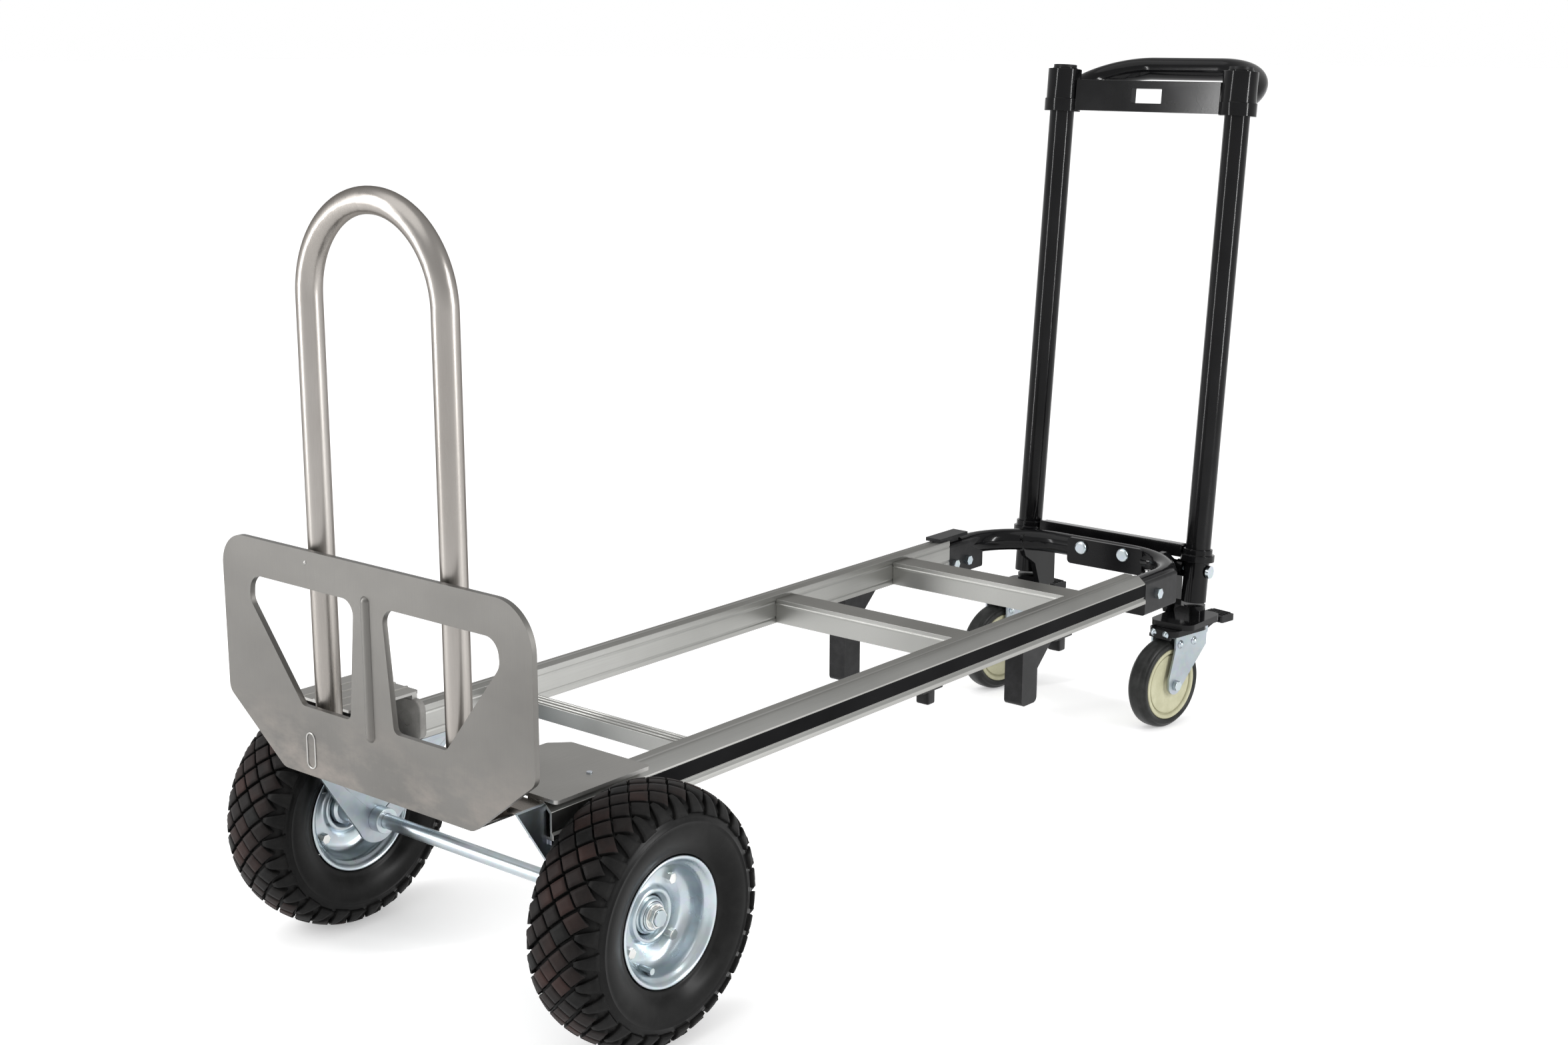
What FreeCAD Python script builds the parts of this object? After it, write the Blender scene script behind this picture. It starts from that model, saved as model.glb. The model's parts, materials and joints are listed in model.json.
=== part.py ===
"""Convertible hand truck, standing on four wheels as a platform truck.

Millimetres. While it is built, X runs from the main axle towards the handle, Y towards the left
rail and Z up from the floor. Every shape is then moved along X, so that the origin is the middle
of the footprint, on the floor.
"""
import FreeCAD, Part
import math
import os

V = FreeCAD.Vector
X_AXIS, Y_AXIS, Z_AXIS = V(1, 0, 0), V(0, 1, 0), V(0, 0, 1)
SIDES = {"left": 1, "right": -1}
BIG = 2000

# Main wheels
tyre_radius = 130
tyre_half_width = 44
wheel_y = 226.7
rim_radius = 65.5
rim_half_width = 33
axle_radius = 8
running_clearance = 0.05
hub_inner_reach = 30
hub_outer_reach = 12

# Side rails, a hollow section with grooves
rail_inner_y = 142
rail_width = 32
rail_lip = 2
rail_bottom = 211
rail_height = 37
rail_wall = 3
rail_rear_x = 1028
rail_front_x = {"left": 47, "right": -69}
rail_top = rail_bottom + rail_height
rail_outer_y = rail_inner_y + rail_width
cap_top = 256

# Cross members
cross_front_x = (641, 892)
cross_depth = 36
cross_bottom = 212
cross_top = 243
front_bar_x = 148
front_bar_depth = 22

# Support legs: the front face's x and the height of the foot
leg_places = {"left": (787, 95), "right": (742, 137)}

# Toe plate and nose extension
toe_x = -135
toe_thickness = 6
toe_half_width = 223
toe_top = 462
toe_bottom = 231
toe_chamfer_z = 296
toe_bottom_half_width = 139
toe_corner = (34, 46)
nose_x = -110
nose_y = 96
nose_radius = 13
nose_bore = 11
nose_top = 800.6
nose_pivot_z = 269
nose_pin_radius = 4

# Axle brackets
bracket_y = 163
bracket_thickness = 4
bracket_flange_x = (-106, 118)
bracket_flange_thickness = 5

# Rear loop and casters
loop_y = 158
loop_z = 229
loop_radius = 15.5
loop_bore = 13
spigot_radius = 12.7
loop_bend = 100
loop_back_x = 1185
caster_y = 140
caster_x = 1190
caster_trail = 32
caster_turn = -9
caster_wheel_radius = 63.5
caster_wheel_half_width = 16
caster_plate_z = 142
caster_plate_thickness = 8
caster_pin_radius = 6
caster_axle_radius = 5
pedal_pin_x = 46
pedal_pin_z = 130
pedal_pin_radius = 3

# Handle
post_y = 140
post_radius = 17.5
post_bore = 15
post_tilt = 4.9
post_length_below_pivot = 45
pivot_x = 1231.5
pivot_z = 212
pivot_radius = 5
post_top = 693
collar_radius = 24
collar_length = 60
grip_reach = 112
grip_rise = 44
grip_bend = 86
grip_radius = 16


def box(x, y, z):
    """A block between the two values of each pair."""
    return Part.makeBox(x[1] - x[0], y[1] - y[0], z[1] - z[0], V(x[0], y[0], z[0]))


def rod(start, end, radius):
    """A round bar between two points."""
    along = V(*end) - V(*start)
    return Part.makeCylinder(radius, along.Length, V(*start), along)


def ring(start, end, radius, bore):
    """A bar with a round hole right through it."""
    return rod(start, end, radius).cut(rod(start, end, bore))


def face_of(points):
    return Part.Face(Part.makePolygon([V(*p) for p in points] + [V(*points[0])]))


def plate_xz(points, y0, y1):
    """An outline in the XZ plane, thickened between two Y values."""
    return face_of([(x, y0, z) for x, z in points]).extrude(V(0, y1 - y0, 0))


def plate_yz(points, x0, x1):
    """An outline in the YZ plane, thickened between two X values."""
    return face_of([(x0, y, z) for y, z in points]).extrude(V(x1 - x0, 0, 0))


def plate_xy(points, z0, z1):
    return face_of([(x, y, z0) for x, y in points]).extrude(V(0, 0, z1 - z0))


def turned_about_y(profile, x, y, z):
    """Turn (radius, offset) points about a Y axis through the given point."""
    face = face_of([(x, y + offset, z + radius) for radius, offset in profile])
    return face.revolve(V(x, y, z), Y_AXIS, 360)


def round_edges(shape, radius, wanted):
    """Round the edges that the test picks."""
    return shape.makeFillet(radius, [edge for edge in shape.Edges if wanted(edge)])


def runs_along(edge, axis):
    if not isinstance(edge.Curve, Part.Line):
        return False
    return abs(abs(edge.tangentAt(edge.FirstParameter).dot(axis)) - 1) < 1e-6


def bent_wire(points, bend):
    """Straight runs through the points, joined by arcs of one bend radius."""
    corners = [V(*p) for p in points]
    edges = []
    here = corners[0]
    for before, corner, after in zip(corners, corners[1:], corners[2:]):
        come = (corner - before).normalize()
        go = (after - corner).normalize()
        turn = come.getAngle(go)
        reach = bend * math.tan(turn / 2)
        first = corner - come * reach
        last = corner + go * reach
        inward = (go - come).normalize()
        middle = corner + inward * (bend / math.cos(turn / 2) - bend)
        if (first - here).Length > 1e-6:
            edges.append(Part.LineSegment(here, first).toShape())
        edges.append(Part.Arc(first, middle, last).toShape())
        here = last
    edges.append(Part.LineSegment(here, corners[-1]).toShape())
    return Part.Wire(edges)


def bent_bar(points, bend, radius):
    wire = bent_wire(points, bend)
    start = V(*points[0])
    circle = Part.Circle(start, V(*points[1]) - start, radius).toShape()
    return wire.makePipeShell([Part.Wire(circle)], True, False)


def bent_tube(points, bend, radius, bore):
    return bent_bar(points, bend, radius).cut(bent_bar(points, bend, bore))


def hex_bolt_y(x, y, z, side, across=13, height=6):
    """A hexagon head that sits on a face whose normal is along Y."""
    reach = across / math.sqrt(3)
    corners = [(x + reach * math.cos(math.radians(60 * k)), z + reach * math.sin(math.radians(60 * k)))
               for k in range(6)]
    return plate_xz(corners, y, y + side * height)


def dome_bolt_x(x, y, z, radius, height):
    """A low round head on a face that looks towards -X."""
    head = Part.makeCylinder(radius, height, V(x, y, z), V(-1, 0, 0))
    return round_edges(head, height * 0.6, lambda e: abs(e.BoundBox.XMax - (x - height)) < 1e-3
                       and abs(e.BoundBox.XMin - (x - height)) < 1e-3)


def on_post(distance):
    """The point of a post's axis at a distance above the pivot."""
    tilt = math.radians(post_tilt)
    return pivot_x + distance * math.sin(tilt), pivot_z + distance * math.cos(tilt)


# Toe plate -----------------------------------------------------------------------------------

def window_outline():
    """The hole left of the middle, seen in the toe plate's own plane as (y, z) points."""
    return [(20, 424), (178, 424), (181, 398), (105, 302.5), (32, 302.5)]


def toe_plate():
    w, b = toe_half_width, toe_bottom_half_width
    outline = [(-w, toe_top), (w, toe_top), (w, toe_chamfer_z), (b, toe_bottom), (-b, toe_bottom),
               (-w, toe_chamfer_z)]
    plate = plate_yz(outline, toe_x, toe_x + toe_thickness)
    for side, corner_radius in zip((1, -1), toe_corner):
        plate = round_edges(plate, corner_radius, lambda e: runs_along(e, X_AXIS)
                            and abs(e.BoundBox.YMax - side * w) < 1e-3 and e.BoundBox.ZMax > toe_top - 1)
    plate = round_edges(plate, 14, lambda e: runs_along(e, X_AXIS) and e.BoundBox.ZMax < toe_chamfer_z + 1)
    for side in SIDES.values():
        hole = plate_yz([(side * y, z) for y, z in window_outline()], toe_x - 1, toe_x + toe_thickness + 1)
        inner = lambda e: runs_along(e, X_AXIS) and e.BoundBox.ZMax > 390 and abs(e.BoundBox.YMax) < 60
        outer = lambda e: runs_along(e, X_AXIS) and e.BoundBox.ZMax > 390 and abs(e.BoundBox.YMax) > 60
        lower = lambda e: runs_along(e, X_AXIS) and e.BoundBox.ZMax < 310
        plate = plate.cut(round_edges(round_edges(round_edges(hole, 15, inner), 17, outer), 7, lower))
    return plate.fuse(stiffening_bead()).removeSplitter()


def stiffening_bead():
    """The pressed ridge between the windows, round-nosed at both ends."""
    x, y = toe_x + 2, 3
    low, high, radius = 292, 426, 6
    bead = rod((x, y, low), (x, y, high), radius)
    bead = bead.fuse([Part.makeSphere(radius, V(x, y, z)) for z in (low, high)])
    return bead.common(box((toe_x - BIG, toe_x + 1), (-BIG, BIG), (0, BIG)))


def base_channel():
    """The folded channel behind the foot of the toe plate, which carries it on the axle brackets."""
    front, back = toe_x + toe_thickness, rail_front_x["right"]
    reach = toe_bottom_half_width + 2
    channel = box((front, back), (-reach, reach), (233, 246))
    channel = channel.cut(box((front + 4, BIG), (-reach, reach), (236, 243)))
    tabs = [box((back - 26, back), sorted((side * reach, side * bracket_y)), (239, 246))
            for side in SIDES.values()]
    return channel.fuse(tabs).removeSplitter()


def corner_plate():
    """The flat shelf over the front end of the right rail."""
    outline = [(-69, -181), (60, -181), (60, -72), (42, -54), (-69, -54)]
    plate = plate_xy(outline, rail_top, rail_top + 4)
    return round_edges(plate, 5, lambda e: runs_along(e, Z_AXIS))


def rail_end_cap():
    """The rounded stop on the front end of the left rail."""
    front = rail_front_x["left"] - 8
    cap = box((front, front + 8), (135, 181.5), (rail_bottom, cap_top))
    cap = round_edges(cap, 11, lambda e: runs_along(e, X_AXIS))
    cap = round_edges(cap, 1.5, lambda e: e.BoundBox.XMax < front + 1e-3)
    return cap.cut(rod((front - 1, 158, 234), (front + 1.2, 158, 234), 9))


def axle_bracket(side):
    """A tapering plate under the rail with a flange on top and a round foot on the axle."""
    x0, x1 = bracket_flange_x
    y0, y1 = side * bracket_y, side * (bracket_y + bracket_thickness)
    top = rail_bottom - bracket_flange_thickness
    foot = 27
    ear_x = rail_front_x["right"]
    outline = [(x0, 246), (ear_x, 246), (ear_x, top), (x1, top), (foot - 2, 120), (-foot + 2, 120)]
    web = plate_xz(outline, y0, y1)
    web = web.fuse(rod((0, y0, tyre_radius), (0, y1, tyre_radius), foot))
    edges = sorted((side * rail_inner_y, side * (rail_outer_y - 1)))
    flange = box((ear_x, x1), edges, (top, rail_bottom))
    bracket = web.fuse(flange).removeSplitter()
    return bracket.cut(rod((0, -BIG, tyre_radius), (0, BIG, tyre_radius), axle_radius))


# Rails and cross members ---------------------------------------------------------------------

def rail(side):
    w, h, t = rail_width, rail_height, rail_wall
    groove = 0.7
    outside = [(0, h), (11, h), (12, h - 1), (15, h - 1), (16, h), (22, h - 0.5), (w, h - 9), (w, 9),
               (w - 1, 8), (w + rail_lip, 5), (w + rail_lip, 0), (0, 0), (0, 6), (groove, 6.7),
               (groove, 8.3), (0, 9), (0, h - 10), (groove, h - 9.3), (groove, h - 7.7), (0, h - 7)]
    hollow = [(t, t), (w - t, t), (w - t, h - 11), (21, h - 4), (t, h - 4)]
    front = rail_front_x["left" if side > 0 else "right"]
    solids = []
    for section in (outside, hollow):
        points = [(front, side * (rail_inner_y + u), rail_bottom + v) for u, v in section]
        solids.append(face_of(points).extrude(V(rail_rear_x - front, 0, 0)))
    return solids[0].cut(solids[1])


def rail_trim_strips():
    """The plain dark band along each rail's outer face."""
    strips = []
    for side in SIDES.values():
        y = sorted((side * rail_outer_y, side * (rail_outer_y + 0.6)))
        strips.append(box((66, rail_rear_x), y, (rail_bottom + 10, rail_bottom + 26)))
    return strips


def cross_member(front):
    """A folded channel, open at the back."""
    y = (-rail_inner_y, rail_inner_y)
    outer = box((front, front + cross_depth), y, (cross_bottom, cross_top))
    channel = outer.cut(box((front + 2.5, BIG), y, (cross_bottom + 2.5, cross_top - 2.5)))
    bead = box((front - 0.8, front), y, (cross_top - 8, cross_top - 5.5))
    return channel.fuse(bead).removeSplitter()


def front_bar():
    """The narrow bar with ribs along its top."""
    x0, x1 = front_bar_x, front_bar_x + front_bar_depth
    y = (-rail_inner_y, rail_inner_y)
    bar = box((x0, x1), y, (224, 240)).cut(box((x0 + 3, x1 - 3), y, (227, 237)))
    for x in (x0, x0 + 7, x0 + 14, x1 - 2):
        bar = bar.fuse(box((x, x + 2), y, (240, 241.5)))
    return bar.removeSplitter()


def support_legs():
    """The two boxy legs that hang below the rails."""
    legs = []
    for word, (front, foot) in leg_places.items():
        y = sorted((SIDES[word] * 143, SIDES[word] * 169))
        back = front + 34
        stem = box((front, back), y, (foot, rail_bottom))
        stem = round_edges(stem, 7, lambda e: e.BoundBox.ZMax < foot + 1 and runs_along(e, Y_AXIS))
        head = plate_xz([(front, rail_bottom), (back + 34, rail_bottom), (back, 180), (front, 180)], *y)
        legs.append(stem.fuse(head).removeSplitter())
    return legs


# Rear loop, blocks and handle mounts ---------------------------------------------------------

def loop_points():
    start = rail_rear_x
    return [(start, loop_y, loop_z), (loop_back_x, loop_y, loop_z), (loop_back_x, -loop_y, loop_z),
            (start, -loop_y, loop_z)]


def rear_loop():
    """The bent tube, with a thinner spigot inside the end of each rail."""
    loop = bent_tube(loop_points(), loop_bend, loop_radius, loop_bore)
    start = cross_front_x[1] + cross_depth + 2
    spigots = [ring((start, side * loop_y, loop_z), (rail_rear_x + 30, side * loop_y, loop_z), spigot_radius, 10.5)
               for side in SIDES.values()]
    plugs = [ring((rail_rear_x, side * loop_y, loop_z), (rail_rear_x + 30, side * loop_y, loop_z), loop_bore,
                  spigot_radius) for side in SIDES.values()]
    return loop.fuse(spigots + plugs).removeSplitter()


def rail_end_block(side):
    """The moulded block that closes the rail and grips the loop."""
    name = "left" if side > 0 else "right"
    y = sorted((side * 142.5, side * 175))
    block = box((rail_rear_x, 1112), y, (194, 240))
    block = round_edges(block, 4, lambda e: runs_along(e, X_AXIS))
    if name == "left":
        tongue = box((1008, 1076), (145, 170), (rail_top, rail_top + 5))
        block = block.fuse(tongue).fuse(box((rail_rear_x, 1060), (150, 166), (238, rail_top + 1)))
    return block.cut(bent_bar(loop_points(), loop_bend, loop_radius)).removeSplitter()


def latch_bracket():
    """The plate hung on the front of the loop, where the handle locks."""
    x1 = loop_back_x - loop_radius
    plate = box((x1 - 5, x1), (-90, 32), (208, 246))
    plate = round_edges(plate, 6, lambda e: runs_along(e, X_AXIS))
    plate = plate.fuse(box((x1 - 5, x1 + 18), (-84, 26), (208, 213))).removeSplitter()
    return plate.cut(bent_bar(loop_points(), loop_bend, loop_radius))


def latch_bolts():
    x = loop_back_x - loop_radius - 5
    return [dome_bolt_x(x, y, 234, 9.5, 5.5) for y in (8, -60)]


def handle_mount(side):
    """The cheek inside each post, with the short stub that stands on the caster."""
    y0, y1 = side * 103, side * 111
    base = caster_plate_z + caster_plate_thickness
    outline = [(1150, 240), (1200, 240), (1220, 226), (1246, 218), (1246, base), (1208, base), (1192, 190),
               (1166, 206)]
    cheek = plate_xz(outline, y0, y1)
    cheek = round_edges(cheek, 8, lambda e: runs_along(e, Y_AXIS) and e.BoundBox.ZMax > 239)
    stub = rod((pivot_x, side * post_y, base), (pivot_x, side * post_y, 162), 15)
    arm = box((pivot_x - 15, pivot_x + 14), sorted((y0, side * post_y)), (base, 161))
    boss = rod((pivot_x, y1, pivot_z), (pivot_x, side * 121.5, pivot_z), 12)
    mount = cheek.fuse([stub, arm, boss]).removeSplitter()
    mount = mount.cut(bent_bar(loop_points(), loop_bend, loop_radius))
    return mount.cut(rod((pivot_x, -BIG, pivot_z), (pivot_x, BIG, pivot_z), pivot_radius))


def pivot_bolts():
    """The bolts that the posts turn on, one through each cheek."""
    bolts = []
    for side in SIDES.values():
        shank = rod((pivot_x, side * 97, pivot_z), (pivot_x, side * 163, pivot_z), pivot_radius)
        head = rod((pivot_x, side * 158.5, pivot_z), (pivot_x, side * 163, pivot_z), 9)
        nut = hex_bolt_y(pivot_x, side * 97, pivot_z, side, 15, 6)
        bolts.append(shank.fuse([head, nut]).removeSplitter())
    return bolts


def frame_bolts():
    """The visible bolts of the frame."""
    heads = [hex_bolt_y(1058, -175, 220, -1, 13, 6)]
    heads += [hex_bolt_y(x, 142.5, 212, -1, 12, 6) for x in (1040, 1072)]
    heads += [Part.makeCylinder(3, 1.5, V(6, -150, rail_top + 4), Z_AXIS)]
    return heads


# Wheels --------------------------------------------------------------------------------------

def axle():
    reach = wheel_y + hub_outer_reach + 9
    return rod((0, -reach, tyre_radius), (0, reach, tyre_radius), axle_radius)


def axle_collars():
    """A collar on each face of both brackets."""
    z = tyre_radius
    inner = wheel_y - hub_inner_reach - 0.4
    outside = bracket_y + bracket_thickness
    rings = []
    for side in SIDES.values():
        rings.append(ring((0, side * (bracket_y - 14), z), (0, side * bracket_y, z), 14, axle_radius))
        rings.append(ring((0, side * outside, z), (0, side * inner, z), 13, axle_radius))
    return rings


def axle_nuts():
    nuts = []
    start = wheel_y + hub_outer_reach + 0.4
    for side in SIDES.values():
        nut = hex_bolt_y(0, side * start, tyre_radius, side, 19, 7)
        washer = rod((0, side * start, tyre_radius), (0, side * (start + 2), tyre_radius), 13)
        nuts.append(nut.fuse(washer).removeSplitter().cut(axle()))
    return nuts


def tyre(side):
    """The air tyre without its tread blocks."""
    r, w = tyre_radius, tyre_half_width
    half = [(rim_radius - 4, 26), (rim_radius + 2, 31), (82, 40), (100, w), (112, 42), (121, 37), (127, 28),
            (r, 14)]
    profile = half + [(radius, -offset) for radius, offset in reversed(half)]
    profile += [(rim_radius - 4, -22), (rim_radius + 6, -18), (rim_radius + 6, 18), (rim_radius - 4, 22)]
    return turned_about_y(profile, 0, side * wheel_y, tyre_radius)


def rim_halves(side):
    """Two pressed discs, back to back, each with a flange that holds the tyre."""
    hub_radius = 19
    outer = [(rim_radius, 33), (rim_radius, 31), (rim_radius - 5, 25.5), (rim_radius - 7, 22), (rim_radius - 7, 9),
             (50, 3), (34, 0), (hub_radius, 0), (hub_radius, 2.5), (33, 2.5), (49, 5.5), (rim_radius - 9.5, 11),
             (rim_radius - 9.5, 23), (rim_radius - 7, 27.5), (rim_radius - 2, 33)]
    halves = []
    for face in (1, -1):
        profile = [(radius, face * offset) for radius, offset in outer]
        halves.append(turned_about_y(profile, 0, side * wheel_y, tyre_radius))
    return halves


def wheel_hub(side):
    """The hub tube with a bearing cup at each end."""
    bore = axle_radius + running_clearance
    profile = [(bore, -hub_inner_reach), (15, -hub_inner_reach), (15, -14), (19, -12), (19, 6), (15, 8),
               (15, hub_outer_reach), (bore, hub_outer_reach)]
    return turned_about_y([(r, side * o) for r, o in profile], 0, side * wheel_y, tyre_radius)


def rim_bolts(side):
    """Four bolts that hold the rim halves together."""
    bolts = []
    for quarter in range(4):
        turn = math.radians(45 + 90 * quarter)
        x, z = 41 * math.cos(turn), tyre_radius + 41 * math.sin(turn)
        head = hex_bolt_y(x, side * (wheel_y + 5.2), z, side, 10, 6)
        tail = hex_bolt_y(x, side * (wheel_y - 5.2), z, -side, 10, 6)
        bolts += [head, tail]
    return bolts


def tyre_valve(side):
    turn = math.radians(250)
    x, z = 50 * math.cos(turn), tyre_radius + 50 * math.sin(turn)
    y = side * (wheel_y + 9.2)
    return rod((x, y, z), (x, y + side * 16, z), 3.2)


# Casters -------------------------------------------------------------------------------------

def caster_plate(side):
    """The black plate under the stub, with the pin that the fork turns on."""
    x, y = caster_x + 16, side * caster_y
    plate = box((x - 46, x + 46), (y - 33, y + 33), (caster_plate_z, caster_plate_z + caster_plate_thickness))
    plate = round_edges(plate, 14, lambda e: runs_along(e, Z_AXIS))
    pin = rod((caster_x, y, caster_plate_z - 8), (caster_x, y, caster_plate_z), caster_pin_radius)
    return plate.fuse(pin).removeSplitter()


def caster_housing(side):
    """The black swivel head with its ball race."""
    x, y = caster_x, side * caster_y
    top = caster_plate_z - 0.5
    head = box((x - 44, x + 38), (y - 24, y + 24), (133, top))
    head = round_edges(head, 14, lambda e: runs_along(e, Z_AXIS))
    skirt = box((x - 44, x - 40), (y - 18, y + 18), (129, 134))
    head = head.fuse(skirt).removeSplitter()
    return head.cut(rod((x, y, 100), (x, y, 200), caster_pin_radius + running_clearance))


def caster_fork(side):
    """Two zinc cheeks joined under the swivel head, with the pin for the brake pedal."""
    x, y, axle_x = caster_x, side * caster_y, caster_x - caster_trail
    gap, thickness = caster_wheel_half_width + 3, 3
    cheek = [(x - 34, 133), (x + 34, 133), (x + 34, 112), (axle_x + 13, 58), (axle_x - 13, 58), (axle_x - 14, 74),
             (x - 34, 116)]
    pieces = []
    for face in (-1, 1):
        inner = y + face * gap
        pieces.append(plate_xz(cheek, inner, inner + face * thickness))
        pieces.append(rod((axle_x, inner, 63.5), (axle_x, inner + face * thickness, 63.5), 13.5))
    pieces.append(box((x - 34, x + 34), (y - gap - thickness, y + gap + thickness), (130, 133)))
    fork = pieces[0].fuse(pieces[1:]).removeSplitter()
    fork = fork.cut(rod((axle_x, -BIG, 63.5), (axle_x, BIG, 63.5), caster_axle_radius))
    fork = fork.cut(rod((x, y, 100), (x, y, 200), caster_pin_radius + running_clearance))
    lug = plate_xz([(x + 34, 133), (x + 50, 133), (x + 50, 124), (x + 34, 116)], y - 12, y - 9)
    other = plate_xz([(x + 34, 133), (x + 50, 133), (x + 50, 124), (x + 34, 116)], y + 9, y + 12)
    bridge = box((x + 30, x + 34), (y - gap, y + gap), (116, 130))
    pin = rod((x + pedal_pin_x, y - 12, pedal_pin_z), (x + pedal_pin_x, y + 12, pedal_pin_z), pedal_pin_radius)
    return fork.fuse([lug, other, bridge, pin]).removeSplitter()


def caster_axle(side):
    """The bolt, with a head and a nut outside the cheeks."""
    x, y = caster_x - caster_trail, side * caster_y
    face = caster_wheel_half_width + 6
    shank = rod((x, y - face, 63.5), (x, y + face, 63.5), caster_axle_radius)
    ends = [hex_bolt_y(x, y + end * face, 63.5, end, 13, 6) for end in (-1, 1)]
    return shank.fuse(ends).removeSplitter()


def caster_tread(side):
    """The stepped rubber tyre."""
    r, w = caster_wheel_radius, caster_wheel_half_width
    half = [(48, w - 1), (54, w), (58, w - 1), (59, w - 4), (r - 1, w - 7), (r, w - 10)]
    profile = half + [(radius, -offset) for radius, offset in reversed(half)]
    return turned_about_y(profile, caster_x - caster_trail, side * caster_y, r)


def caster_core(side):
    """The moulded wheel centre."""
    bore, w = caster_axle_radius + running_clearance, caster_wheel_half_width
    half = [(bore, w + 1), (13, w + 1), (14, w - 4), (38, w - 4), (39, w - 5.5), (41, w - 5.5), (42, w - 1), (48, w - 1)]
    profile = half + [(radius, -offset) for radius, offset in reversed(half)]
    return turned_about_y(profile, caster_x - caster_trail, side * caster_y, caster_wheel_radius)


def brake_pedal(side):
    """The pedal that presses a shoe on the caster's tread."""
    x, y = caster_x + pedal_pin_x, side * caster_y
    eye = rod((x, y - 8, pedal_pin_z), (x, y + 8, pedal_pin_z), 6)
    arm = plate_xz([(x, pedal_pin_z + 6), (x + 26, 142), (x + 56, 141), (x + 56, 133), (x + 22, 132),
                    (x, pedal_pin_z - 6)], y - 8, y + 8)
    tread = box((x + 24, x + 56), (y - 19, y + 19), (133, 143))
    tread = round_edges(tread, 4, lambda e: runs_along(e, Y_AXIS) or runs_along(e, Z_AXIS))
    shoe = plate_xz([(x, pedal_pin_z - 6), (x - 8, 112), (x - 4, 110), (x + 4, pedal_pin_z - 4)], y - 8, y + 8)
    pedal = eye.fuse([arm, tread, shoe]).removeSplitter()
    bore = pedal_pin_radius + running_clearance
    return pedal.cut(rod((x, y - 30, pedal_pin_z), (x, y + 30, pedal_pin_z), bore))


# Handle --------------------------------------------------------------------------------------

def post(side):
    low_x, low_z = on_post(-post_length_below_pivot)
    high_x, high_z = on_post(post_top)
    y = side * post_y
    tube = ring((low_x, y, low_z), (high_x, y, high_z), post_radius, post_bore)
    bore = pivot_radius + running_clearance
    tube = tube.cut(rod((pivot_x, -BIG, pivot_z), (pivot_x, BIG, pivot_z), bore))
    return tube


def post_caps():
    """A plug that shows just above each post."""
    caps = []
    low, high = on_post(post_top), on_post(post_top + 4)
    for side in SIDES.values():
        y = side * post_y
        caps.append(rod((low[0], y, low[1]), (high[0], y, high[1]), post_radius - 1))
    return caps


def handle_collars():
    """The long sleeves at the top and the short flared ones above the pivot."""
    sleeves = []
    for side in SIDES.values():
        y = side * post_y
        for low, high, radius in ((post_top - 2 - collar_length, post_top - 2, collar_radius),
                                  (post_top - 2 - collar_length, post_top - 44, collar_radius + 1.8),
                                  (13.5, 23, 24), (23, 31, 20.5)):
            start, end = on_post(low), on_post(high)
            sleeves.append(ring((start[0], y, start[1]), (end[0], y, end[1]), radius, post_radius))
    pairs = zip(sleeves[0::2], sleeves[1::2])
    return [first.fuse(second).removeSplitter() for first, second in pairs]


def tilted_bar(low, high, thickness, y):
    """A flat bar between the posts, square to them, from one height on the posts to another."""
    tilt = math.radians(post_tilt)
    nx, nz = math.cos(tilt) * thickness / 2, -math.sin(tilt) * thickness / 2
    (x0, z0), (x1, z1) = on_post(low), on_post(high)
    return plate_xz([(x0 - nx, z0 - nz), (x0 + nx, z0 + nz), (x1 + nx, z1 + nz), (x1 - nx, z1 - nz)], *y)


def handle_top_bar():
    """The flat bar with the slot in its middle."""
    low, high = post_top - 60, post_top - 17
    reach = post_y - post_radius - 0.2
    bar = tilted_bar(low, high, 14, (-reach, reach))
    bar = bar.cut(tilted_bar(low + 12, high - 11, 40, (-24, 24)))
    for side in SIDES.values():
        y = side * post_y
        start, end = on_post(low - 20), on_post(high + 20)
        bar = bar.cut(rod((start[0], y, start[1]), (end[0], y, end[1]), collar_radius + 1.8))
    return bar


def handle_lower_bar():
    """The hollow bar just above the pivots, shaped to the flared collars."""
    reach = post_y - 12
    bar = tilted_bar(16, 34, 18, (-reach, reach)).cut(tilted_bar(19, 31, 12, (-reach, reach)))
    for side in SIDES.values():
        start, end = on_post(0), on_post(80)
        y = side * post_y
        bar = bar.cut(rod((start[0], y, start[1]), (end[0], y, end[1]), 24))
    return max(bar.Solids, key=lambda s: s.Volume)


def handle_grip():
    """The thick loop that bows back and up from one post's top to the other's."""
    x, z = on_post(post_top - 46)
    y = post_y
    points = [(x, y, z), (x + grip_reach, y, z + grip_rise), (x + grip_reach, -y, z + grip_rise), (x, -y, z)]
    grip = bent_tube(points, grip_bend, grip_radius, grip_radius - 3)
    for side in SIDES.values():
        start, end = on_post(post_top - 100), on_post(post_top + 60)
        grip = grip.cut(rod((start[0], side * y, start[1]), (end[0], side * y, end[1]), collar_radius + 1.8))
    return max(grip.Solids, key=lambda s: s.Volume)


# Nose extension ------------------------------------------------------------------------------

def nose_extension():
    z0, z1, y = nose_pivot_z - 10, nose_top, nose_y
    points = [(nose_x, y, z0), (nose_x, y, z1), (nose_x, -y, z1), (nose_x, -y, z0)]
    tube = bent_tube(points, nose_y - 1, nose_radius, nose_bore)
    bore = nose_pin_radius + running_clearance
    return tube.cut(rod((nose_x, -BIG, nose_pivot_z), (nose_x, BIG, nose_pivot_z), bore))


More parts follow.
